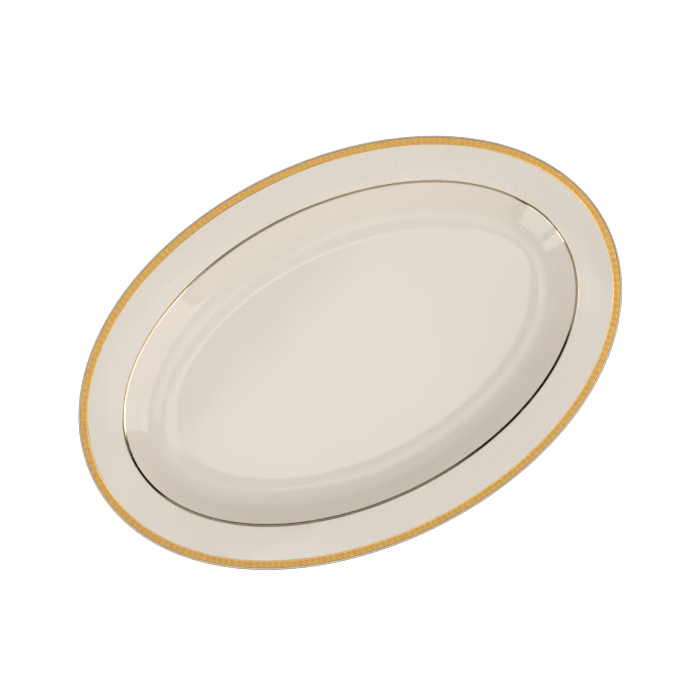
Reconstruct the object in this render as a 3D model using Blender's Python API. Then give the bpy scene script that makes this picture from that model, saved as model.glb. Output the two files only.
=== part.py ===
"""Oval china serving platter: one glazed body, four gold rings and three rows of raised enamel.

Every section is drawn in two numbers: how far in from the lip, square to it, and how far above the
table. A section is spun about the vertical axis into a round ring or dish, and each ring of points is
then moved out to the platter's oval, so the rim keeps one width all the way round.
"""

import math

import bmesh
import bpy
from mathutils import Vector

# The oval lip
LENGTH = 0.406
WIDTH = 0.276
SHOULDER_SWELL = 0.005  # how much fuller the oval is at its shoulders than an ellipse
SEGMENTS = 88
PARALLEL_IN = 0.0615  # rings out to here run parallel to the lip, and nearer the centre they only shrink

# The rim, which is flat in section and slopes down to the verge
HEIGHT = 0.0345
RIM_SLOPE = math.radians(15)
LIP_RADIUS = 0.0014
LIP_STEPS = 4
LIP_GOLD_END = math.radians(215)

# The well, the wall round it and the shoulder between the wall and the rim
VERGE_IN = 0.0320
SHOULDER_RADIUS = 0.007
SHOULDER_STEPS = 4
WELL_EDGE_IN = 0.0513
WELL_EDGE_HEIGHT = 0.0086
WELL_RADIUS = 0.018
WELL_STEPS = 5
WELL_CENTRE_HEIGHT = 0.0078

# The underside and the foot ring
UNDER_VERGE = (0.0334, 0.0221)
UNDER_VERGE_RADIUS = 0.010
UNDER_VERGE_STEPS = 3
UNDER_WALL_FOOT = (0.0508, 0.0046)
UNDER_WALL_RADIUS = 0.004
FOOT_OUTER_IN = 0.0543
FOOT_WIDTH = 0.0042
FOOT_ROOT_RADIUS = 0.0012
FOOT_EDGE = 0.0005
FOOT_STEPS = 2
RECESS_HEIGHT = 0.0034
RECESS_CENTRE_HEIGHT = 0.0032

# The applied layers: gold lies in a channel etched round the rim, enamel and the verge line lie on it
LAYER = 0.0003
GAP = 0.0003
ETCHED_GOLD = (0.0021, 0.0058)
INNER_GOLD = (0.0061, 0.0069)
VERGE_GOLD = (0.0307, 0.0326)
VERGE_GOLD_STEPS = 3
ENAMEL_ROWS = {
    "enamel_row_outer": (0.0092, 0.0126),
    "enamel_row_middle": (0.0174, 0.0218),
    "enamel_row_inner": (0.0252, 0.0299),
}

SMOOTH_UNDER = math.radians(35)
MERGE = 1e-6

# name: colour (linear), metallic, roughness
FINISHES = {
    "ivory_glaze": ((0.75, 0.68, 0.58), 0.0, 0.08),
    "white_enamel": ((0.82, 0.78, 0.70), 0.0, 0.20),
    "burnished_gold": ((0.83, 0.57, 0.22), 1.0, 0.12),
    "etched_gold": ((0.75, 0.47, 0.15), 1.0, 0.38),
}


def clear_scene():
    for thing in list(bpy.data.objects):
        bpy.data.objects.remove(thing, do_unlink=True)


def finish_material(name):
    """The Principled material of one finish, made once."""
    found = bpy.data.materials.get(name)
    if found:
        return found
    colour, metallic, roughness = FINISHES[name]
    material = bpy.data.materials.new(name)
    material.use_nodes = True
    shader = material.node_tree.nodes["Principled BSDF"]
    shader.inputs["Base Color"].default_value = (*colour, 1.0)
    shader.inputs["Metallic"].default_value = metallic
    shader.inputs["Roughness"].default_value = roughness
    return material


def lip_frame(turn):
    """A point of the oval lip at this parameter, and the level direction square to it, inwards."""
    swell = 1 + SHOULDER_SWELL * math.sin(2 * turn) ** 2
    swell_rate = 2 * SHOULDER_SWELL * math.sin(4 * turn)
    half_length = LENGTH / 2
    half_width = WIDTH / 2
    point = Vector((half_length * math.cos(turn) * swell, half_width * math.sin(turn) * swell))
    along = Vector((
        half_length * (math.cos(turn) * swell_rate - math.sin(turn) * swell),
        half_width * (math.sin(turn) * swell_rate + math.cos(turn) * swell),
    )).normalized()
    return point, Vector((-along.y, along.x))


def to_oval(round_point):
    """Moves a point of the round dish to the oval one: square to the lip as far as the well, then by scale."""
    turn = math.atan2(round_point.y, round_point.x)
    inward = WIDTH / 2 - math.hypot(round_point.x, round_point.y)
    lip, direction = lip_frame(turn)
    outline = lip + direction * min(inward, PARALLEL_IN)
    share = min(1.0, (WIDTH / 2 - inward) / (WIDTH / 2 - PARALLEL_IN))
    return Vector((outline.x * share, outline.y * share, round_point.z))


def arc(centre, radius, start, end, steps):
    """Points of a section along an arc. Angles run from the inward direction towards up."""
    points = []
    for step in range(steps + 1):
        angle = start + (end - start) * step / steps
        points.append((centre[0] + radius * math.cos(angle), centre[1] + radius * math.sin(angle)))
    return points


def rounded(before, corner, after, radius, steps):
    """Points of the arc that rounds off one corner of a section."""
    corner = Vector(corner)
    back = (Vector(before) - corner).normalized()
    onward = (Vector(after) - corner).normalized()
    half_angle = back.angle(onward) / 2
    centre = corner + (back + onward).normalized() * (radius / math.sin(half_angle))
    reach = radius / math.tan(half_angle)
    first = corner + back * reach - centre
    last = corner + onward * reach - centre
    sweep = first.angle_signed(last)
    points = []
    for step in range(steps + 1):
        angle = -sweep * step / steps
        turned = Vector((
            first.x * math.cos(angle) - first.y * math.sin(angle),
            first.x * math.sin(angle) + first.y * math.cos(angle),
        ))
        points.append(tuple(centre + turned))
    return points


def rim_height(inward):
    """Height of the rim's finished top surface at this distance in from the lip."""
    tangent_in = LIP_RADIUS * (1 + math.sin(RIM_SLOPE))
    tangent_up = HEIGHT - LIP_RADIUS * (1 - math.cos(RIM_SLOPE))
    return tangent_up - math.tan(RIM_SLOPE) * (inward - tangent_in)


def top_height(inward):
    """Height of the finished top surface on the rim and on the shoulder it turns down over."""
    wall_slope = math.atan2(rim_height(VERGE_IN) - WELL_EDGE_HEIGHT, WELL_EDGE_IN - VERGE_IN)
    reach = SHOULDER_RADIUS * math.tan((wall_slope - RIM_SLOPE) / 2)
    arc_start = VERGE_IN - reach * math.cos(RIM_SLOPE)
    if inward <= arc_start:
        return rim_height(inward)
    centre_in = arc_start - SHOULDER_RADIUS * math.sin(RIM_SLOPE)
    centre_up = rim_height(arc_start) - SHOULDER_RADIUS * math.cos(RIM_SLOPE)
    return centre_up + math.sqrt(SHOULDER_RADIUS**2 - (inward - centre_in) ** 2)


def lip_arc(depth, start, end):
    """Points round the lip, this far below its finished surface."""
    centre = (LIP_RADIUS, HEIGHT - LIP_RADIUS)
    return arc(centre, LIP_RADIUS - depth, start, end, LIP_STEPS)


def body_section():
    """The china's outline from the centre of the well, over the lip and back to the axis underneath."""
    axis_in = WIDTH / 2
    well_centre = (axis_in, WELL_CENTRE_HEIGHT)
    well_edge = (WELL_EDGE_IN, WELL_EDGE_HEIGHT)
    verge = (VERGE_IN, rim_height(VERGE_IN))
    channel_in = INNER_GOLD[1] + GAP
    channel_top = (channel_in, rim_height(channel_in))
    channel_foot = (channel_in, rim_height(channel_in) - LAYER - GAP)
    lip_top = math.pi / 2 - RIM_SLOPE
    lip_under = lip_top + math.pi
    under_lip = lip_arc(0, lip_under, lip_under)[0]
    foot_inner_in = FOOT_OUTER_IN + FOOT_WIDTH
    foot_root = (FOOT_OUTER_IN, UNDER_WALL_FOOT[1])
    foot_outer = (FOOT_OUTER_IN, 0.0)
    foot_inner = (foot_inner_in, 0.0)
    recess_edge = (foot_inner_in, RECESS_HEIGHT)
    recess_centre = (axis_in, RECESS_CENTRE_HEIGHT)
    section = [well_centre]
    section += rounded(well_centre, well_edge, verge, WELL_RADIUS, WELL_STEPS)
    section += rounded(well_edge, verge, channel_top, SHOULDER_RADIUS, SHOULDER_STEPS)
    section += [channel_top, channel_foot]
    section += lip_arc(LAYER + GAP, lip_top, lip_under)
    section += rounded(under_lip, UNDER_VERGE, UNDER_WALL_FOOT, UNDER_VERGE_RADIUS, UNDER_VERGE_STEPS)
    section += rounded(UNDER_VERGE, UNDER_WALL_FOOT, foot_root, UNDER_WALL_RADIUS, FOOT_STEPS)
    section += rounded(UNDER_WALL_FOOT, foot_root, foot_outer, FOOT_ROOT_RADIUS, FOOT_STEPS)
    section += rounded(foot_root, foot_outer, foot_inner, FOOT_EDGE, 1)
    section += rounded(foot_outer, foot_inner, recess_edge, FOOT_EDGE, 1)
    section += rounded(foot_inner, recess_edge, recess_centre, FOOT_ROOT_RADIUS, FOOT_STEPS)
    section += [recess_centre]
    return section


def lip_gold_section():
    """The lip line wraps from the rim's top surface over the lip to its outer side."""
    lip_top = math.pi / 2 - RIM_SLOPE
    outside = lip_arc(0, lip_top, LIP_GOLD_END)
    inside = lip_arc(LAYER, lip_top, LIP_GOLD_END)
    return outside + inside[::-1]


def strip_section(span, lift, steps=1):
    """A thin strip that follows the top surface, its own top this far above it."""
    start, end = span
    places = [start + (end - start) * step / steps for step in range(steps + 1)]
    top = [(inward, top_height(inward) + lift) for inward in places]
    foot = [(inward, top_height(inward) + lift - LAYER) for inward in places]
    return top + foot[::-1]


def spun_solid(name, section, finish, closed):
    """One closed solid from a section: spun round, then moved to the oval."""
    shape = bmesh.new()
    verts = [shape.verts.new((WIDTH / 2 - inward, 0, up)) for inward, up in section]
    edges = [shape.edges.new(pair) for pair in zip(verts, verts[1:])]
    if closed:
        edges.append(shape.edges.new((verts[-1], verts[0])))
    bmesh.ops.spin(
        shape,
        geom=verts + edges,
        cent=(0, 0, 0),
        axis=(0, 0, 1),
        angle=2 * math.pi,
        steps=SEGMENTS,
        use_merge=True,
    )
    bmesh.ops.remove_doubles(shape, verts=shape.verts, dist=MERGE)
    for vert in shape.verts:
        vert.co = to_oval(vert.co)
    bmesh.ops.recalc_face_normals(shape, faces=shape.faces)
    mesh = bpy.data.meshes.new(name)
    shape.to_mesh(mesh)
    shape.free()
    mesh.shade_smooth()
    mesh.set_sharp_from_angle(angle=SMOOTH_UNDER)
    mesh.materials.append(finish_material(finish))
    part = bpy.data.objects.new(name, mesh)
    bpy.context.scene.collection.objects.link(part)
    return part


def build():
    clear_scene()
    lying_on_rim = LAYER + GAP
    parts = [
        spun_solid("platter_body", body_section(), "ivory_glaze", closed=False),
        spun_solid("lip_gold_line", lip_gold_section(), "burnished_gold", closed=True),
        spun_solid("etched_gold_band", strip_section(ETCHED_GOLD, 0), "etched_gold", closed=True),
        spun_solid("band_inner_gold_line", strip_section(INNER_GOLD, 0), "burnished_gold", closed=True),
    ]
    verge_section = strip_section(VERGE_GOLD, lying_on_rim, VERGE_GOLD_STEPS)
    parts.append(spun_solid("verge_gold_line", verge_section, "burnished_gold", closed=True))
    for name, span in ENAMEL_ROWS.items():
        parts.append(spun_solid(name, strip_section(span, lying_on_rim), "white_enamel", closed=True))
    platter = bpy.data.objects.new("platter", None)
    bpy.context.scene.collection.objects.link(platter)
    for part in parts:
        part.parent = platter


build()
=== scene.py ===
"""Looks of an oval china serving platter: china body, gold lines, etched gold band and raised enamel.

Laid out as an add-on and run as a script. The packed model gives the sizes and places. A section is drawn
as a wire in two numbers, the distance in from the lip and the height above the table, then spun into a
round ring or dish, and each point is moved out to the platter's oval, so the rim keeps one width.
"""

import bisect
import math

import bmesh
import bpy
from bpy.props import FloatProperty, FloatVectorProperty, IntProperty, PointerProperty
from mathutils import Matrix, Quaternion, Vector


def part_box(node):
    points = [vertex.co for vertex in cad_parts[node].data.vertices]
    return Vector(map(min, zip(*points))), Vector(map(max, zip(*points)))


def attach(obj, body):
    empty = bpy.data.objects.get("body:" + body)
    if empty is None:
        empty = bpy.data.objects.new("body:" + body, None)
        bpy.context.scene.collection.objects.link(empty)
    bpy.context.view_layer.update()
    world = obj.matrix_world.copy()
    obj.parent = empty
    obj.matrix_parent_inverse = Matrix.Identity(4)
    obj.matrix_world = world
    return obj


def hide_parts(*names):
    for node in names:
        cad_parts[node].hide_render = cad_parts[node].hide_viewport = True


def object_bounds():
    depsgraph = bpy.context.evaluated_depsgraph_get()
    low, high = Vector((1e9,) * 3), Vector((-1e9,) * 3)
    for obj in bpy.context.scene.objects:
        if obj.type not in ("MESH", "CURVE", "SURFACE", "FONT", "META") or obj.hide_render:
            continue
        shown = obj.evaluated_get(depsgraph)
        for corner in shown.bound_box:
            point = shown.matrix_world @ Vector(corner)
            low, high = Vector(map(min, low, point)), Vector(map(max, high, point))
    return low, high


bl_info = {
    "name": "Oval China Platter",
    "version": (1, 0, 0),
    "blender": (4, 5, 0),
    "location": "View3D > Sidebar > Platter",
    "description": "Makes a gold-banded oval china serving platter and the studio around it",
    "category": "Add Mesh",
}

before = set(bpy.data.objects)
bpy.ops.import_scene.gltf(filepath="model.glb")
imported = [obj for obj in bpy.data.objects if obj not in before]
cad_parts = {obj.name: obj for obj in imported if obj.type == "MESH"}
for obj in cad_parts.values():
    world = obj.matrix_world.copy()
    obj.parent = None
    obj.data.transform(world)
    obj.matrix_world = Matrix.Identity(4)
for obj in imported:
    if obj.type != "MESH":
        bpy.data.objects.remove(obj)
CAD_LOW, CAD_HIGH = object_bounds()

LENGTH = CAD_HIGH.x - CAD_LOW.x
WIDTH = CAD_HIGH.y - CAD_LOW.y
LIP_TOP = CAD_HIGH.z
AXIS_IN = WIDTH / 2
MERGE = 1e-6
SHARP_OVER = math.radians(50)
WALK_STEPS = 2880  # fine steps round the oval, for measuring along it

GOLD_OUT = 0.0002  # how much nearer the lip the gold starts than the packed model's rings
BAND_LINE = 0.0007  # width of the line that closes the band
BAND_LINE_CROWN = 0.00003
VERGE_LINE_CROWN = 0.00001
BAND_CROWN = -0.00004  # the etched ground is a little hollow
BOSS_HALF = (0.00062, 0.00120, 0.00013)  # half sizes of the oval boss: along the band, across it, out of it
BAR_HALF = (0.00030, 0.00088, 0.00010)  # half sizes of a slanted bar, in the same order
BAR_ASIDE = 0.00135  # from the boss to the bars on each side of it
BARS = ((-0.00062, 0.7), (0.00072, -0.7))  # place across the band and lean of each bar
LINE_STEPS = 8  # steps across a line
BAND_STEPS = 6  # steps across the band

POLISHED = 0.10  # roughness of the untouched lines
HANDLED = 0.26  # roughness of the lip, which hands and cloths reach most
RELIEF_ROUGHNESS = 0.28
LIP_PAINTED_DARK_SHARE = 0.66  # share of the burnished colour that the lip keeps; the darkening is a painted dark reflection
RELIEF_SHARE = 0.95  # share of the etched colour on the raised pattern


def inset(node):
    """How far in from the lip a ring of the packed model starts."""
    return LENGTH / 2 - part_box(node)[1].x


# ---------------------------------------------------------------- settings


class PlatterShape(bpy.types.PropertyGroup):
    """Section and outline of the china"""

    swell: FloatProperty(
        name="Shoulder swell",
        description="How much fuller the oval is at its shoulders than an ellipse",
        default=0.005,
        subtype="FACTOR",
    )
    turns: IntProperty(name="Turns", description="Steps of the spin round the platter", default=288, min=32)
    rim_slope: FloatProperty(
        name="Rim slope",
        description="Fall of the rim from the lip to the verge",
        default=math.radians(15),
        subtype="ANGLE",
    )
    lip_radius: FloatProperty(
        name="Lip radius", description="Radius of the lip's upper roll", default=0.0019, unit="LENGTH"
    )
    lip_side: FloatProperty(
        name="Lip side", description="Height of the upright between the lip's two rolls", default=0.0002,
        unit="LENGTH",
    )
    under_lip_radius: FloatProperty(
        name="Under lip radius", description="Radius of the lip's lower roll", default=0.0010, unit="LENGTH"
    )
    verge_in: FloatProperty(
        name="Verge", description="Distance from the lip to the verge", default=0.0316, unit="LENGTH"
    )
    shoulder_radius: FloatProperty(
        name="Shoulder radius", description="Radius where the rim turns down", default=0.0066, unit="LENGTH"
    )
    well_edge_in: FloatProperty(
        name="Well edge", description="Distance from the lip to the foot of the wall", default=0.0513,
        unit="LENGTH",
    )
    well_edge_height: FloatProperty(
        name="Well edge height", description="Height of the well's floor at its edge", default=0.0086,
        unit="LENGTH",
    )
    well_dish: FloatProperty(
        name="Well dish", description="How far the floor sinks from its edge to its centre", default=0.0008,
        unit="LENGTH",
    )
    well_radius: FloatProperty(
        name="Well radius", description="Radius between the wall and the floor", default=0.030, unit="LENGTH"
    )
    parallel_in: FloatProperty(
        name="Parallel zone",
        description="Rings out to here run parallel to the lip, and nearer the centre they only shrink",
        default=0.0615,
        unit="LENGTH",
    )


class GoldWork(bpy.types.PropertyGroup):
    """Gold lines and the etched band"""

    film: FloatProperty(
        name="Gold film", description="How far the gold stands over the glaze", default=0.00004, unit="LENGTH"
    )
    sunk: FloatProperty(
        name="Gold root", description="How far each gold piece reaches into the china", default=0.00010,
        unit="LENGTH",
    )
    lip_wrap: FloatProperty(
        name="Lip wrap", description="How far round the lip the gold reaches", default=math.radians(215),
        subtype="ANGLE",
    )
    verge_line: FloatProperty(
        name="Verge line", description="Width of the line on the verge", default=0.0021, unit="LENGTH"
    )
    repeats: IntProperty(
        name="Band repeats", description="Repeats of the etched pattern round the band", default=240, min=12
    )
    burnished: FloatVectorProperty(
        name="Burnished gold", description="Colour of the polished lines", default=(0.90, 0.62, 0.27),
        subtype="COLOR", size=3,
    )
    worn: FloatVectorProperty(
        name="Worn gold", description="Colour of the thin line on the verge", default=(0.80, 0.66, 0.50),
        subtype="COLOR", size=3,
    )
    etched: FloatVectorProperty(
        name="Etched gold", description="Colour of the matte ground", default=(1.0, 0.61, 0.185),
        subtype="COLOR", size=3,
    )


class EnamelWork(bpy.types.PropertyGroup):
    """Rows of raised strokes on the rim"""

    repeats: IntProperty(name="Strokes", description="Strokes in each row", default=250, min=12)
    rise: FloatProperty(
        name="Rise", description="How far a stroke stands over the glaze", default=0.00006, unit="LENGTH"
    )
    breadth: FloatProperty(
        name="Breadth", description="Width of a stroke", default=0.0019, unit="LENGTH"
    )
    lean: FloatProperty(
        name="Lean", description="Lean of the inner row's strokes", default=math.radians(12), subtype="ANGLE"
    )
    colour: FloatVectorProperty(
        name="Enamel", description="Colour of the strokes", default=(0.785, 0.725, 0.64), subtype="COLOR",
        size=3,
    )


class GlazeLook(bpy.types.PropertyGroup):
    """Colours of the china"""

    ivory: FloatVectorProperty(
        name="Ivory", description="Colour of the glazed china", default=(0.78, 0.715, 0.635), subtype="COLOR",
        size=3,
    )
    deep_ivory: FloatVectorProperty(
        name="Deep ivory", description="Colour where the glaze lies thicker", default=(0.75, 0.685, 0.60),
        subtype="COLOR", size=3,
    )
    bisque: FloatVectorProperty(
        name="Bisque", description="Colour of the bare foot", default=(0.80, 0.77, 0.70), subtype="COLOR",
        size=3,
    )


class StudioSetup(bpy.types.PropertyGroup):
    """Camera, floor and lamps"""

    azimuth: FloatProperty(
        name="Azimuth", description="Side that the camera looks from", default=math.radians(-26.65),
        subtype="ANGLE",
    )
    elevation: FloatProperty(
        name="Elevation", description="Height of the camera over the horizon", default=math.radians(84.9),
        subtype="ANGLE",
    )
    lens: FloatProperty(name="Lens", description="Focal length in millimetres", default=182.15)
    distance: FloatProperty(
        name="Distance", description="From the camera to the platter's middle", default=2.5, unit="LENGTH"
    )
    aside: FloatProperty(
        name="Aside", description="How far the aim lies right of the platter's middle", default=-0.00055,
        unit="LENGTH",
    )
    above: FloatProperty(
        name="Above",
        description="How far the aim lies above the platter's middle, in the camera's own upright",
        default=0.00102,
        unit="LENGTH",
    )
    air: FloatProperty(
        name="Air", description="Light that comes from the room itself", default=0.29, subtype="FACTOR"
    )


# ---------------------------------------------------------------- outline and section


def lip_frame(turn):
    """A point of the oval lip at this parameter, and the level direction square to it, inwards."""
    swell = bpy.context.scene.platter_shape.swell
    fullness = 1 + swell * math.sin(2 * turn) ** 2
    fullness_rate = 2 * swell * math.sin(4 * turn)
    point = Vector((LENGTH / 2 * math.cos(turn) * fullness, WIDTH / 2 * math.sin(turn) * fullness, 0))
    along = Vector((
        LENGTH / 2 * (math.cos(turn) * fullness_rate - math.sin(turn) * fullness),
        WIDTH / 2 * (math.sin(turn) * fullness_rate + math.cos(turn) * fullness),
        0,
    )).normalized()
    return point, Vector((-along.y, along.x, 0))


def shares_along(inward):
    """Share of the way round reached after each fine step of the oval's parameter, this far in."""
    total = 0.0
    reached = [0.0]
    last = None
    for step in range(WALK_STEPS + 1):
        lip, direction = lip_frame(2 * math.pi * step / WALK_STEPS)
        here = lip + direction * inward
        if last is not None:
            total += (here - last).length
            reached.append(total)
        last = here
    return [length / total for length in reached]


def move_to_oval(shape):
    """Moves every point of a round shape out to the oval: square to the lip, then by scale near the centre.

    Even steps round the circle become even steps along the rim.
    """
    parallel_in = bpy.context.scene.platter_shape.parallel_in
    reached = shares_along(inset("enamel_row_middle"))
    for vert in shape.verts:
        share = math.atan2(vert.co.y, vert.co.x) / (2 * math.pi) % 1.0
        step = max(bisect.bisect_right(reached, share) - 1, 0)
        part = (share - reached[step]) / (reached[step + 1] - reached[step])
        lip, direction = lip_frame(2 * math.pi * (step + part) / WALK_STEPS)
        inward = AXIS_IN - math.hypot(vert.co.x, vert.co.y)
        outline = lip + direction * min(inward, parallel_in)
        scale = min(1.0, (AXIS_IN - inward) / (AXIS_IN - parallel_in))
        vert.co = Vector((outline.x * scale, outline.y * scale, vert.co.z))


def rim_height(inward):
    """Height of the rim's glazed top surface at this distance in from the lip."""
    shape = bpy.context.scene.platter_shape
    tangent_in = shape.lip_radius * (1 + math.sin(shape.rim_slope))
    tangent_up = LIP_TOP - shape.lip_radius * (1 - math.cos(shape.rim_slope))
    return tangent_up - math.tan(shape.rim_slope) * (inward - tangent_in)


def under_lip_up():
    """Height of the centre of the lip's lower roll."""
    shape = bpy.context.scene.platter_shape
    return LIP_TOP - shape.lip_radius - shape.lip_side


def round_corner(wire, vert, radius, steps):
    """Rounds one corner of a wire section with the bevel tool."""
    one, other = [edge.other_vert(vert).co - vert.co for edge in vert.link_edges]
    reach = radius / math.tan(one.angle(other) / 2)
    bmesh.ops.bevel(
        wire,
        geom=[vert],
        offset=reach,
        offset_type="OFFSET",
        segments=steps,
        profile=0.5,
        affect="VERTICES",
        material=-1,
    )


def wire_section(corners, closed):
    """A section as a wire at +X. Each corner is (inward, up, radius, steps)."""
    wire = bmesh.new()
    verts = [wire.verts.new((AXIS_IN - inward, 0, up)) for inward, up, radius, steps in corners]
    pairs = list(zip(verts, verts[1:]))
    if closed:
        pairs.append((verts[-1], verts[0]))
    for pair in pairs:
        wire.edges.new(pair)
    for vert, (inward, up, radius, steps) in zip(verts, corners):
        if radius:
            round_corner(wire, vert, radius, steps)
    return wire


def spin_round(wire):
    """Spins a wire section into a closed shape about the vertical axis."""
    bmesh.ops.spin(
        wire,
        geom=wire.verts[:] + wire.edges[:],
        cent=(0, 0, 0),
        axis=(0, 0, 1),
        angle=2 * math.pi,
        steps=bpy.context.scene.platter_shape.turns,
        use_merge=True,
    )
    bmesh.ops.remove_doubles(wire, verts=wire.verts, dist=MERGE)


def finish_piece(name, shape, material, replaced):
    """Turns a bmesh into a piece that rides on the platter."""
    bmesh.ops.recalc_face_normals(shape, faces=shape.faces)
    mesh = bpy.data.meshes.new(name)
    shape.to_mesh(mesh)
    shape.free()
    mesh.shade_smooth()
    mesh.set_sharp_from_angle(angle=SHARP_OVER)
    mesh.materials.append(material)
    piece = bpy.data.objects.new(name, mesh)
    bpy.context.scene.collection.objects.link(piece)
    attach(piece, "root")
    if replaced:
        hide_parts(replaced)
    return piece


# ---------------------------------------------------------------- shader helpers


def put(tree, kind, settings=None, **inputs):
    """Adds a node, sets its own settings, and fills its inputs with sockets or plain values."""
    node = tree.nodes.new(kind)
    for key, value in (settings or {}).items():
        setattr(node, key, value)
    for key, value in inputs.items():
        socket = node.inputs[int(key[1:])] if key[0] == "_" else node.inputs[key.replace("_", " ")]
        if isinstance(value, bpy.types.NodeSocket):
            tree.links.new(value, socket)
        else:
            socket.default_value = value
    return node


def calc(tree, operation, *values):
    """A Math node's result."""
    node = put(tree, "ShaderNodeMath", {"operation": operation})
    for socket, value in zip(node.inputs, values):
        if isinstance(value, bpy.types.NodeSocket):
            tree.links.new(value, socket)
        else:
            socket.default_value = value
    return node.outputs[0]


def spread(tree, value, low, high, to_low, to_high):
    """A smooth Map Range of a value."""
    node = put(
        tree,
        "ShaderNodeMapRange",
        {"interpolation_type": "SMOOTHSTEP"},
        Value=value,
        From_Min=low,
        From_Max=high,
        To_Min=to_low,
        To_Max=to_high,
    )
    return node.outputs["Result"]


def mix_colour(tree, share, first, second):
    """A Mix node on two colours."""
    node = put(tree, "ShaderNodeMix", {"data_type": "RGBA"}, _0=share)
    for socket, value in ((node.inputs[6], first), (node.inputs[7], second)):
        if isinstance(value, bpy.types.NodeSocket):
            tree.links.new(value, socket)
        else:
            socket.default_value = (*value, 1.0)
    return node.outputs[2]


def new_group(name, inputs, outputs):
    """An empty shader node group with float inputs (name, default) and named float outputs."""
    tree = bpy.data.node_groups.new(name, "ShaderNodeTree")
    for label, default in inputs:
        socket = tree.interface.new_socket(label, in_out="INPUT", socket_type="NodeSocketFloat")
        socket.default_value = default
    for label in outputs:
        tree.interface.new_socket(label, in_out="OUTPUT", socket_type="NodeSocketFloat")
    return tree, tree.nodes.new("NodeGroupInput"), tree.nodes.new("NodeGroupOutput")


def fired_ripple_group():
    """Height of a fired surface: a broad flow ripple and a fine orange peel."""
    name = "Fired Ripple"
    if name in bpy.data.node_groups:
        return bpy.data.node_groups[name]
    scales = [("Broad Scale", 30.0), ("Fine Scale", 600.0), ("Fine Share", 0.2)]
    tree, given, made = new_group(name, scales, ["Height"])
    place = put(tree, "ShaderNodeTexCoord").outputs["Object"]
    broad = put(tree, "ShaderNodeTexNoise", Vector=place, Scale=given.outputs["Broad Scale"], Detail=1.0)
    fine = put(tree, "ShaderNodeTexNoise", Vector=place, Scale=given.outputs["Fine Scale"], Detail=2.0)
    fine_part = calc(tree, "MULTIPLY", fine.outputs["Fac"], given.outputs["Fine Share"])
    tree.links.new(calc(tree, "ADD", broad.outputs["Fac"], fine_part), made.inputs["Height"])
    return tree


def rub_group():
    """Mask of fine rubs from handling and washing: 1 is rubbed."""
    name = "Handling Rubs"
    if name in bpy.data.node_groups:
        return bpy.data.node_groups[name]
    scales = [("Patch Scale", 25.0), ("Hair Scale", 900.0), ("Amount", 0.3)]
    tree, given, made = new_group(name, scales, ["Mask"])
    place = put(tree, "ShaderNodeTexCoord").outputs["Object"]
    patch = put(tree, "ShaderNodeTexNoise", Vector=place, Scale=given.outputs["Patch Scale"], Detail=3.0)
    hair_scale = given.outputs["Hair Scale"]
    hair = put(tree, "ShaderNodeTexNoise", Vector=place, Scale=hair_scale, Detail=2.0, Roughness=0.7)
    patches = spread(tree, patch.outputs["Fac"], 0.42, 0.68, 0.0, 1.0)
    hairs = spread(tree, hair.outputs["Fac"], 0.45, 0.62, 0.0, 1.0)
    both = calc(tree, "MULTIPLY", patches, hairs)
    tree.links.new(calc(tree, "MULTIPLY", both, given.outputs["Amount"]), made.inputs["Mask"])
    return tree


def mottle_group():
    """Slow tonal drift of a fired colour, from 0 to 1."""
    name = "Kiln Mottle"
    if name in bpy.data.node_groups:
        return bpy.data.node_groups[name]
    tree, given, made = new_group(name, [("Scale", 12.0), ("Contrast", 1.0)], ["Share"])
    place = put(tree, "ShaderNodeTexCoord").outputs["Object"]
    scale = given.outputs["Scale"]
    cloud = put(tree, "ShaderNodeTexNoise", Vector=place, Scale=scale, Detail=4.0, Roughness=0.55)
    centred = calc(tree, "SUBTRACT", cloud.outputs["Fac"], 0.5)
    stretched = calc(tree, "MULTIPLY", centred, given.outputs["Contrast"])
    share = calc(tree, "ADD", stretched, 0.5)
    tree.links.new(calc(tree, "MINIMUM", calc(tree, "MAXIMUM", share, 0.0), 1.0), made.inputs["Share"])
    return tree


def use_group(tree, group, **inputs):
    """Places a node group in a material with its own values."""
    node = tree.nodes.new("ShaderNodeGroup")
    node.node_tree = group
    for key, value in inputs.items():
        node.inputs[key.replace("_", " ")].default_value = value
    return node


def blank_material(name):
    """A new material and its Principled shader."""
    material = bpy.data.materials.new(name)
    material.use_nodes = True
    return material, material.node_tree, material.node_tree.nodes["Principled BSDF"]


def bump(tree, shader, height, strength, distance):
    """Lets a height roughen the shader's surface."""
    node = put(tree, "ShaderNodeBump", Height=height, Strength=strength, Distance=distance)
    tree.links.new(node.outputs["Normal"], shader.inputs["Normal"])


# ---------------------------------------------------------------- materials


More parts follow.
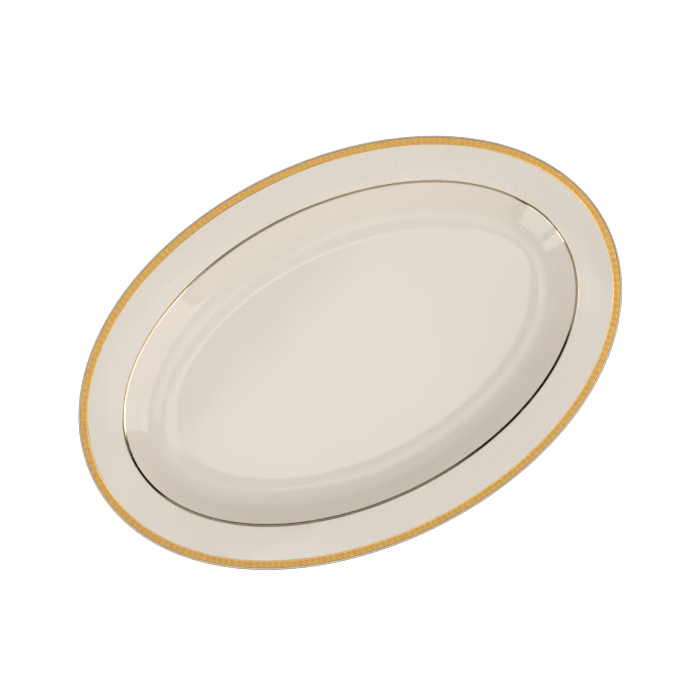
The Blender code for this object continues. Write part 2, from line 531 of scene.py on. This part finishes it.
def china_material():
    """Clear gloss glaze over ivory china, bare on the foot's standing edge."""
    look = bpy.context.scene.glaze_look
    material, tree, shader = blank_material("ivory_glaze")
    place = put(tree, "ShaderNodeTexCoord").outputs["Object"]
    height = put(tree, "ShaderNodeSeparateXYZ", Vector=place).outputs["Z"]
    mottle = use_group(tree, mottle_group(), Scale=9.0, Contrast=0.9).outputs["Share"]
    colour = mix_colour(tree, calc(tree, "MULTIPLY", mottle, 0.35), look.ivory, look.deep_ivory)
    speck_cells = put(tree, "ShaderNodeTexVoronoi", {"feature": "F1"}, Vector=place, Scale=38.0)
    speck_size = spread(tree, speck_cells.outputs["Distance"], 0.006, 0.011, 1.0, 0.0)
    speck_pick = put(tree, "ShaderNodeSeparateColor", Color=speck_cells.outputs["Color"]).outputs["Red"]
    speck = calc(tree, "MULTIPLY", speck_size, calc(tree, "GREATER_THAN", speck_pick, 0.93))
    speckled = mix_colour(tree, calc(tree, "MULTIPLY", speck, 0.35), colour, (0.30, 0.22, 0.14))
    bare = spread(tree, height, 0.0002, 0.0007, 1.0, 0.0)
    rub = use_group(tree, rub_group(), Patch_Scale=30.0, Hair_Scale=700.0, Amount=0.5).outputs["Mask"]
    worn_bisque = mix_colour(tree, rub, look.bisque, (0.42, 0.39, 0.35))
    tree.links.new(mix_colour(tree, bare, speckled, worn_bisque), shader.inputs["Base Color"])
    sheen = use_group(tree, rub_group(), Patch_Scale=14.0, Hair_Scale=420.0, Amount=0.05).outputs["Mask"]
    glazed = calc(tree, "ADD", sheen, 0.055)
    dry = calc(tree, "MULTIPLY", bare, 0.72)
    tree.links.new(calc(tree, "MAXIMUM", glazed, dry), shader.inputs["Roughness"])
    ripple = use_group(tree, fired_ripple_group(), Broad_Scale=22.0, Fine_Scale=420.0, Fine_Share=0.02)
    bump(tree, shader, ripple.outputs["Height"], 0.5, 0.0002)
    shader.inputs["IOR"].default_value = 1.52
    shader.inputs["Subsurface Weight"].default_value = 0.1
    shader.inputs["Subsurface Radius"].default_value = (1.0, 0.7, 0.45)
    shader.inputs["Subsurface Scale"].default_value = 0.003
    return material


def enamel_material():
    """Fired white-on-ivory enamel, softer in gloss than the glaze."""
    look = bpy.context.scene.enamel_work
    material, tree, shader = blank_material("white_enamel")
    mottle = use_group(tree, mottle_group(), Scale=260.0, Contrast=1.4).outputs["Share"]
    deeper = [channel * 0.95 for channel in look.colour]
    tree.links.new(mix_colour(tree, mottle, look.colour, deeper), shader.inputs["Base Color"])
    rub = use_group(tree, rub_group(), Patch_Scale=60.0, Hair_Scale=1500.0, Amount=0.2).outputs["Mask"]
    tree.links.new(calc(tree, "ADD", rub, 0.22), shader.inputs["Roughness"])
    ripple = use_group(tree, fired_ripple_group(), Broad_Scale=900.0, Fine_Scale=4000.0, Fine_Share=0.3)
    bump(tree, shader, ripple.outputs["Height"], 0.4, 0.00003)
    return material


def burnished_gold_material(name, colour, roughness):
    """Polished gold line, with the slight unevenness of a line laid by brush."""
    material, tree, shader = blank_material(name)
    mottle = use_group(tree, mottle_group(), Scale=70.0, Contrast=1.6).outputs["Share"]
    redder = (colour[0] * 0.95, colour[1] * 0.88, colour[2] * 0.78)
    tree.links.new(mix_colour(tree, mottle, colour, redder), shader.inputs["Base Color"])
    rub = use_group(tree, rub_group(), Patch_Scale=45.0, Hair_Scale=1600.0, Amount=0.22).outputs["Mask"]
    tree.links.new(calc(tree, "ADD", rub, roughness), shader.inputs["Roughness"])
    ripple = use_group(tree, fired_ripple_group(), Broad_Scale=160.0, Fine_Scale=2200.0, Fine_Share=0.10)
    bump(tree, shader, ripple.outputs["Height"], 0.35, 0.00004)
    shader.inputs["Metallic"].default_value = 1.0
    return material


def etched_gold_material():
    """Matte gold ground, bitten deeper and rougher round each boss of the pattern, and darkened there with
    painted shade.
    """
    look = bpy.context.scene.gold_work
    material, tree, shader = blank_material("etched_gold")
    pattern = put(tree, "ShaderNodeUVMap", {"uv_map": "band"}).outputs["UV"]
    across = put(tree, "ShaderNodeSeparateXYZ", Vector=pattern)
    along = calc(tree, "SUBTRACT", calc(tree, "FRACT", across.outputs["X"]), 0.5)
    square_along = calc(tree, "POWER", calc(tree, "MULTIPLY", along, 2.6), 2.0)
    from_middle = calc(tree, "MULTIPLY", calc(tree, "SUBTRACT", across.outputs["Y"], 0.5), 2.3)
    oval = calc(tree, "ADD", square_along, calc(tree, "POWER", from_middle, 2.0))
    boss_hollow_and_painted_shade = spread(tree, oval, 0.55, 1.15, 1.0, 0.0)
    place = put(tree, "ShaderNodeTexCoord").outputs["Object"]
    grain = put(tree, "ShaderNodeTexVoronoi", {"feature": "F1"}, Vector=place, Scale=2600.0)
    mottle = use_group(tree, mottle_group(), Scale=300.0, Contrast=1.8).outputs["Share"]
    warm = (look.etched[0] * 0.86, look.etched[1] * 0.78, look.etched[2] * 0.62)
    ground = mix_colour(tree, mottle, look.etched, warm)
    # Painted shade: the ground's colour is darkened in an oval round each boss.
    boss_painted_shade = (look.etched[0] * 0.45, look.etched[1] * 0.38, look.etched[2] * 0.30)
    ground_with_painted_shade = mix_colour(tree, calc(tree, "MULTIPLY", boss_hollow_and_painted_shade, 0.38), ground, boss_painted_shade)
    tree.links.new(ground_with_painted_shade, shader.inputs["Base Color"])
    tree.links.new(calc(tree, "ADD", calc(tree, "MULTIPLY", boss_hollow_and_painted_shade, 0.12), 0.34), shader.inputs["Roughness"])
    depth = calc(tree, "SUBTRACT", grain.outputs["Distance"], calc(tree, "MULTIPLY", boss_hollow_and_painted_shade, 0.8))
    bump(tree, shader, depth, 0.6, 0.00005)
    shader.inputs["Metallic"].default_value = 1.0
    return material


FLOOR_HALF = 4.0  # half the floor's side, in metres
FLOOR_GLOW = 0.4
FLOOR_PAINTED_REFLECTION = (0.26, 0.20, 0.15)  # painted reflection: the dark colour that gloss shows in place of the floor, which keeps the gold's edges dark


def floor_material():
    """White table that glows a little, so that no shadow shows on it. Reflections see a painted dark brown in
    its place, a painted reflection that keeps the gold's edges dark.
    """
    material, tree, shader = blank_material("floor_paper")
    mottle = use_group(tree, mottle_group(), Scale=3.0, Contrast=1.0).outputs["Share"]
    white = mix_colour(tree, mottle, (0.93, 0.93, 0.93), (0.91, 0.91, 0.91))
    tree.links.new(white, shader.inputs["Base Color"])
    shader.inputs["Roughness"].default_value = 0.9
    shader.inputs["Specular IOR Level"].default_value = 0.1
    shader.inputs["Emission Color"].default_value = (1, 1, 1, 1)
    shader.inputs["Emission Strength"].default_value = FLOOR_GLOW
    # Painted reflection: glossy rays see a flat dark brown instead of the white floor.
    mirrored = put(tree, "ShaderNodeLightPath").outputs["Is Glossy Ray"]
    painted_reflection = put(tree, "ShaderNodeEmission", Color=(*FLOOR_PAINTED_REFLECTION, 1), Strength=1.0)
    both = put(tree, "ShaderNodeMixShader", _0=mirrored, _1=shader.outputs[0], _2=painted_reflection.outputs[0])
    output = next(node for node in tree.nodes if node.type == "OUTPUT_MATERIAL")
    tree.links.new(both.outputs[0], output.inputs["Surface"])
    return material


class PLATTER_OT_china_body(bpy.types.Operator):
    """Make the glazed china body with its well, rim, lip and foot ring"""

    bl_idname = "platter.china_body"
    bl_label = "China Body"

    def execute(self, context):
        shape = context.scene.platter_shape
        film = context.scene.gold_work.film
        nose_foot = under_lip_up() - shape.under_lip_radius * math.tan((math.pi / 2 - shape.rim_slope) / 2)
        under_verge = (0.0334, 0.0221)
        under_wall_foot = (0.0508, 0.0046)
        foot_outer_in = 0.0543
        foot_inner_in = 0.0585
        floor_edge = (shape.well_edge_in, shape.well_edge_height)
        corners = [
            (AXIS_IN, shape.well_edge_height, 0, 0),
            (*floor_edge, shape.well_radius, 18),
            (shape.verge_in, rim_height(shape.verge_in), shape.shoulder_radius, 10),
            (film, rim_height(film) - film, shape.lip_radius, 12),
            (film, nose_foot, shape.under_lip_radius, 8),
            (*under_verge, 0.010, 8),
            (*under_wall_foot, 0.004, 6),
            (foot_outer_in, under_wall_foot[1], 0.0012, 5),
            (foot_outer_in, 0.0, 0.0006, 4),
            (foot_inner_in, 0.0, 0.0006, 4),
            (foot_inner_in, 0.0034, 0.0012, 5),
            (AXIS_IN, 0.0032, 0, 0),
        ]
        wire = wire_section(corners, closed=False)
        level_runs = [edge for edge in wire.edges if edge.calc_length() > AXIS_IN / 3]
        bmesh.ops.subdivide_edges(wire, edges=level_runs, cuts=28)
        floor_reach = AXIS_IN - shape.well_edge_in
        for vert in wire.verts:
            if abs(vert.co.z - shape.well_edge_height) < MERGE:
                vert.co.z -= shape.well_dish * (1 - (vert.co.x / floor_reach) ** 2)
        spin_round(wire)
        move_to_oval(wire)
        finish_piece("china_body", wire, china_material(), "platter_body")
        return {"FINISHED"}


def surface_height(inward):
    """Height of the glazed surface on the rim and on the shoulder below the verge."""
    shape = bpy.context.scene.platter_shape
    verge_up = rim_height(shape.verge_in)
    wall_slope = math.atan2(verge_up - shape.well_edge_height, shape.well_edge_in - shape.verge_in)
    turn = wall_slope - shape.rim_slope
    reach = shape.shoulder_radius * math.tan(turn / 2)
    arc_start = shape.verge_in - reach * math.cos(shape.rim_slope)
    if inward <= arc_start:
        return rim_height(inward)
    centre_in = arc_start - shape.shoulder_radius * math.sin(shape.rim_slope)
    centre_up = rim_height(arc_start) - shape.shoulder_radius * math.cos(shape.rim_slope)
    return centre_up + math.sqrt(shape.shoulder_radius**2 - (inward - centre_in) ** 2)


def film_strip(start, end, steps, crown):
    """A gold strip that follows the glaze, crowned or hollow, with its root inside the china."""
    gold = bpy.context.scene.gold_work
    top = []
    root = []
    for step in range(steps + 1):
        share = step / steps
        inward = start + (end - start) * share
        swell = crown * math.sin(math.pi * share)
        top.append((inward, surface_height(inward) + gold.film + swell, 0, 0))
        root.append((inward, surface_height(inward) - gold.sunk, 0, 0))
    wire = wire_section(top + root[::-1], closed=True)
    spin_round(wire)
    return wire


class PLATTER_OT_gold_lines(bpy.types.Operator):
    """Make the burnished gold lines: over the lip, inside the band and on the verge"""

    bl_idname = "platter.gold_lines"
    bl_label = "Gold Lines"

    def execute(self, context):
        shape = context.scene.platter_shape
        gold = context.scene.gold_work
        # The lip's gold is rougher from handling and darker by a painted dark reflection.
        lip_painted_dark_colour = [channel * LIP_PAINTED_DARK_SHARE for channel in gold.burnished]
        material = burnished_gold_material("burnished_gold", gold.burnished, POLISHED)
        rubbed_lip_gold_look = burnished_gold_material("rubbed_lip_gold_painted_dark", lip_painted_dark_colour, HANDLED)
        worn = burnished_gold_material("worn_gold", gold.worn, POLISHED)
        start = math.pi / 2 - shape.rim_slope
        side_up = LIP_TOP - shape.lip_radius
        outside = []
        inside = []
        for centre_up, radius, first, last, steps in (
            (side_up, shape.lip_radius, start, math.pi, 14),
            (under_lip_up(), shape.under_lip_radius, math.pi, gold.lip_wrap, 5),
        ):
            for step in range(steps + 1):
                angle = first + (last - first) * step / steps
                direction = (math.cos(angle), math.sin(angle))
                for points, depth in ((outside, 0), (inside, gold.film + gold.sunk)):
                    reach = radius - depth
                    points.append((radius + reach * direction[0], centre_up + reach * direction[1], 0, 0))
        wire = wire_section(outside + inside[::-1], closed=True)
        spin_round(wire)
        move_to_oval(wire)
        finish_piece("lip_gold", wire, rubbed_lip_gold_look, "lip_gold_line")
        lines = (
            ("band_inner_gold", "band_inner_gold_line", BAND_LINE, BAND_LINE_CROWN, material),
            ("verge_gold", "verge_gold_line", gold.verge_line, VERGE_LINE_CROWN, worn),
        )
        for name, node, width, crown, look in lines:
            line_in = inset(node) - GOLD_OUT
            wire = film_strip(line_in, line_in + width, LINE_STEPS, crown)
            move_to_oval(wire)
            finish_piece(name, wire, look, node)
        return {"FINISHED"}


def unroll(shape, start, end, repeats):
    """Gives a round ring a UV map: the repeats along it, and from 0 to 1 across it."""
    layer = shape.loops.layers.uv.new("band")
    for face in shape.faces:
        middle = face.calc_center_median()
        face_turn = math.atan2(middle.y, middle.x)
        for loop in face.loops:
            turn = math.atan2(loop.vert.co.y, loop.vert.co.x)
            turn += 2 * math.pi * round((face_turn - turn) / (2 * math.pi))
            inward = AXIS_IN - math.hypot(loop.vert.co.x, loop.vert.co.y)
            loop[layer].uv = (turn / (2 * math.pi) * repeats, (inward - start) / (end - start))


def rim_place(inward):
    """A place on the round rim at +X: X along the rim, Y inwards down its slope, Z square to the glaze."""
    slope = bpy.context.scene.platter_shape.rim_slope
    down_slope = Vector((-math.cos(slope), 0, -math.sin(slope)))
    along = Vector((0, 1, 0))
    square = along.cross(down_slope)
    if square.z < 0:
        along, square = -along, -square
    spot = Vector((AXIS_IN - inward, 0, rim_height(inward)))
    return Matrix.Translation(spot) @ Matrix((along, down_slope, square)).transposed().to_4x4()


def round_to_oval_stretch(inward):
    """How much longer the oval is than the circle, this far in from the lip."""
    turns = [2 * math.pi * step / WALK_STEPS for step in range(WALK_STEPS + 1)]
    points = [lip + direction * inward for lip, direction in map(lip_frame, turns)]
    way = sum((there - here).length for here, there in zip(points, points[1:]))
    return way / (2 * math.pi * (AXIS_IN - inward))


def dome(shape, place, offset, half_sizes, lean, sides, rings):
    """A low oval dome, set half into the surface. Offset is along and down the slope from its place."""
    leaning = Matrix.Rotation(lean, 4, "Z")
    matrix = place @ Matrix.Translation((*offset, 0)) @ leaning @ Matrix.Diagonal((*half_sizes, 1))
    bmesh.ops.create_uvsphere(shape, u_segments=sides, v_segments=rings, radius=1.0, matrix=matrix)


def repeat_round(shape, repeats, phase):
    """Copies a motif this many times round the circle, then moves the copies to the oval."""
    turn = 2 * math.pi / repeats
    bmesh.ops.rotate(shape, cent=(0, 0, 0), matrix=Matrix.Rotation(phase * turn, 3, "Z"), verts=shape.verts)
    bmesh.ops.spin(
        shape,
        geom=shape.verts[:] + shape.edges[:] + shape.faces[:],
        cent=(0, 0, 0),
        axis=(0, 0, 1),
        angle=2 * math.pi - turn,
        steps=repeats - 1,
        use_duplicate=True,
    )
    move_to_oval(shape)


class PLATTER_OT_etched_band(bpy.types.Operator):
    """Make the etched gold band: its matte ground and the raised pattern on it"""

    bl_idname = "platter.etched_band"
    bl_label = "Etched Gold Band"

    def execute(self, context):
        gold = context.scene.gold_work
        start = inset("etched_gold_band") - GOLD_OUT
        end = inset("band_inner_gold_line") - GOLD_OUT
        material = etched_gold_material()
        wire = film_strip(start, end, BAND_STEPS, BAND_CROWN)
        unroll(wire, start, end, gold.repeats)
        move_to_oval(wire)
        finish_piece("etched_ground", wire, material, "etched_gold_band")
        middle = (start + end) / 2
        narrow = 1 / round_to_oval_stretch(middle)
        relief = bmesh.new()
        place = rim_place(middle)
        boss_breadth, boss_length, boss_rise = BOSS_HALF
        dome(relief, place, (0, 0), (boss_breadth * narrow, boss_length, boss_rise), 0, 8, 6)
        for side in (-1, 1):
            for down_slope, lean in BARS:
                dome(relief, place, (side * BAR_ASIDE * narrow, down_slope), BAR_HALF, side * lean, 6, 4)
        repeat_round(relief, gold.repeats, 0.5)
        raised = [channel * RELIEF_SHARE for channel in gold.etched]
        pattern = burnished_gold_material("raised_gold", raised, RELIEF_ROUGHNESS)
        finish_piece("etched_relief", relief, pattern, None)
        return {"FINISHED"}


class PLATTER_OT_enamel_rows(bpy.types.Operator):
    """Make the three rows of raised enamel strokes on the rim"""

    bl_idname = "platter.enamel_rows"
    bl_label = "Enamel Rows"

    def execute(self, context):
        work = context.scene.enamel_work
        material = enamel_material()
        rows = (
            ("enamel_strokes_outer", "enamel_row_outer", 0.0034, 0.0, 0.0),
            ("enamel_strokes_middle", "enamel_row_middle", 0.0044, 0.0, 0.0),
            ("enamel_strokes_inner", "enamel_row_inner", 0.0047, 0.5, work.lean),
        )
        for name, node, stroke_length, phase, lean in rows:
            middle = inset(node) + stroke_length / 2
            strokes = bmesh.new()
            half_breadth = work.breadth / 2 / round_to_oval_stretch(middle)
            dome(strokes, rim_place(middle), (0, 0), (half_breadth, stroke_length / 2, work.rise), lean, 8, 6)
            repeat_round(strokes, work.repeats, phase)
            finish_piece(name, strokes, material, node)
        return {"FINISHED"}


# ---------------------------------------------------------------- studio


class Softbox:
    """A rectangular lamp: where it hangs in metres (camera's right, camera's top, up), and how it shines.

    Its width lies level and square to the line from the platter, unless width_turn gives another direction.
    """

    def __init__(self, name, spot, size, radiance, colour=(1.0, 1.0, 1.0), width_turn=None):
        self.name = name
        self.spot = spot
        self.size = size
        self.radiance = radiance
        self.colour = colour
        self.width_turn = width_turn

    def hang(self, turn):
        width, height = self.size
        lamp = bpy.data.lights.new(self.name, "AREA")
        lamp.shape = "RECTANGLE"
        lamp.size = width
        lamp.size_y = height
        lamp.energy = self.radiance * math.pi * width * height
        lamp.color = self.colour
        holder = bpy.data.objects.new(self.name, lamp)
        holder.visible_camera = False
        spot = Matrix.Rotation(turn, 3, "Z") @ Vector(self.spot)
        if self.width_turn is None:
            width_turn = math.atan2(spot.y, spot.x) + math.pi / 2
        else:
            width_turn = math.radians(self.width_turn) + turn
        level = Quaternion((0, 0, 1), width_turn)
        holder.rotation_mode = "QUATERNION"
        holder.rotation_quaternion = Vector((0, 0, 1)).rotation_difference(spot) @ level
        holder.location = spot + Vector((0, 0, LIP_TOP))
        bpy.context.scene.collection.objects.link(holder)


SOFTBOXES = (
    Softbox("far_left_box", (-0.46, 0.46, 1.28), (0.80, 0.46), 1.1),
    Softbox("left_box", (-0.64, -0.11, 1.28), (0.80, 0.46), 1.0, (1.0, 0.98, 0.98)),
    Softbox("near_box", (-0.03, -0.65, 1.29), (0.80, 0.46), 0.8),
    Softbox("right_box", (0.62, -0.20, 1.29), (0.66, 0.46), 0.9),
    Softbox("far_box", (0.25, 0.60, 1.29), (0.80, 0.46), 0.7),
    Softbox("key_box", (1.36, 0.10, 0.62), (0.42, 0.70), 0.7, (1.0, 0.96, 0.95)),
    Softbox("low_left_box", (-1.20, -0.66, 0.55), (0.22, 0.50), 2.4, (1.0, 0.96, 0.90)),
    Softbox("low_near_left_box", (-0.95, -1.05, 0.50), (0.50, 0.50), 2.2, (1.0, 0.97, 0.95)),
    Softbox("overhead_box", (0.053, 0.083, 1.6), (0.78, 0.25), 1.4, width_turn=41),
    Softbox("overhead_glow", (-0.03, 0.06, 1.62), (0.34, 0.20), 0.3, width_turn=41),
    Softbox("near_wall", (0.5, -2.4, 1.0), (3.6, 1.7), 0.55),
    Softbox("right_wall", (2.4, -0.6, 1.0), (2.6, 1.7), 1.6, (1.0, 0.98, 0.97)),
    Softbox("left_wall", (-2.4, -0.3, 1.0), (3.0, 1.7), 0.40),
    Softbox("far_wall", (0.0, 2.6, 1.5), (3.0, 1.0), 0.40),
    Softbox("ceiling", (0.0, 0.0, 3.4), (7.0, 7.0), 0.32),
)


def stage_plane(name, size, material, matrix):
    """A flat grid linked into the scene, to serve as the stage's floor."""
    plane = bmesh.new()
    bmesh.ops.create_grid(plane, x_segments=8, y_segments=8, size=size, matrix=matrix)
    mesh = bpy.data.meshes.new(name)
    plane.to_mesh(mesh)
    plane.free()
    mesh.materials.append(material)
    sheet = bpy.data.objects.new(name, mesh)
    bpy.context.scene.collection.objects.link(sheet)
    return sheet


class PLATTER_OT_studio(bpy.types.Operator):
    """Make the pale floor, the soft lamps and the camera"""

    bl_idname = "platter.studio"
    bl_label = "Studio"

    def execute(self, context):
        scene = context.scene
        studio = scene.studio_setup
        stage_plane("floor", FLOOR_HALF, floor_material(), Matrix.Identity(4))
        for softbox in SOFTBOXES:
            softbox.hang(studio.azimuth)
        world = bpy.data.worlds.new("studio_air")
        scene.world = world
        world.use_nodes = True
        world.cycles_visibility.glossy = False
        tree = world.node_tree
        tree.nodes.clear()
        seen = put(tree, "ShaderNodeLightPath").outputs["Is Camera Ray"]
        dim = put(tree, "ShaderNodeBackground", Color=(1, 1, 1, 1), Strength=studio.air)
        pale = put(tree, "ShaderNodeBackground", Color=(1, 1, 1, 1), Strength=1.0)
        both = put(tree, "ShaderNodeMixShader", _0=seen, _1=dim.outputs[0], _2=pale.outputs[0])
        put(tree, "ShaderNodeOutputWorld", Surface=both.outputs[0])
        camera = bpy.data.objects.new("camera", bpy.data.cameras.new("camera"))
        scene.collection.objects.link(camera)
        scene.camera = camera
        camera.data.lens = studio.lens
        camera.data.clip_start = 0.01
        camera.data.clip_end = 50
        back = Vector((
            math.sin(studio.azimuth) * math.cos(studio.elevation),
            -math.cos(studio.azimuth) * math.cos(studio.elevation),
            math.sin(studio.elevation),
        ))
        camera.rotation_mode = "QUATERNION"
        camera.rotation_quaternion = (-back).to_track_quat("-Z", "Y")
        aim = camera.rotation_quaternion @ Vector((studio.aside, studio.above, 0))
        camera.location = Vector((0, 0, LIP_TOP)) + aim + back * studio.distance
        scene.view_settings.view_transform = "Standard"
        return {"FINISHED"}


class PLATTER_PT_panel(bpy.types.Panel):
    """Lists the platter's operators and settings"""

    bl_label = "Oval China Platter"
    bl_space_type = "VIEW_3D"
    bl_region_type = "UI"
    bl_category = "Platter"

    def draw(self, context):
        for operator in OPERATORS:
            self.layout.operator(operator.bl_idname)
        for name, group in SETTINGS.items():
            box = self.layout.box()
            box.label(text=group.__doc__)
            for field in group.__annotations__:
                box.prop(getattr(context.scene, name), field)


OPERATORS = (
    PLATTER_OT_china_body,
    PLATTER_OT_gold_lines,
    PLATTER_OT_etched_band,
    PLATTER_OT_enamel_rows,
    PLATTER_OT_studio,
)
SETTINGS = {
    "platter_shape": PlatterShape,
    "gold_work": GoldWork,
    "enamel_work": EnamelWork,
    "glaze_look": GlazeLook,
    "studio_setup": StudioSetup,
}


def register():
    for group in SETTINGS.values():
        bpy.utils.register_class(group)
    for name, group in SETTINGS.items():
        setattr(bpy.types.Scene, name, PointerProperty(type=group))
    for operator in OPERATORS:
        bpy.utils.register_class(operator)
    bpy.utils.register_class(PLATTER_PT_panel)


def unregister():
    bpy.utils.unregister_class(PLATTER_PT_panel)
    for operator in reversed(OPERATORS):
        bpy.utils.unregister_class(operator)
    for name in SETTINGS:
        delattr(bpy.types.Scene, name)
    for group in SETTINGS.values():
        bpy.utils.unregister_class(group)


def main():
    register()
    bpy.ops.platter.china_body()
    bpy.ops.platter.gold_lines()
    bpy.ops.platter.etched_band()
    bpy.ops.platter.enamel_rows()
    bpy.ops.platter.studio()


if __name__ == "__main__":
    main()
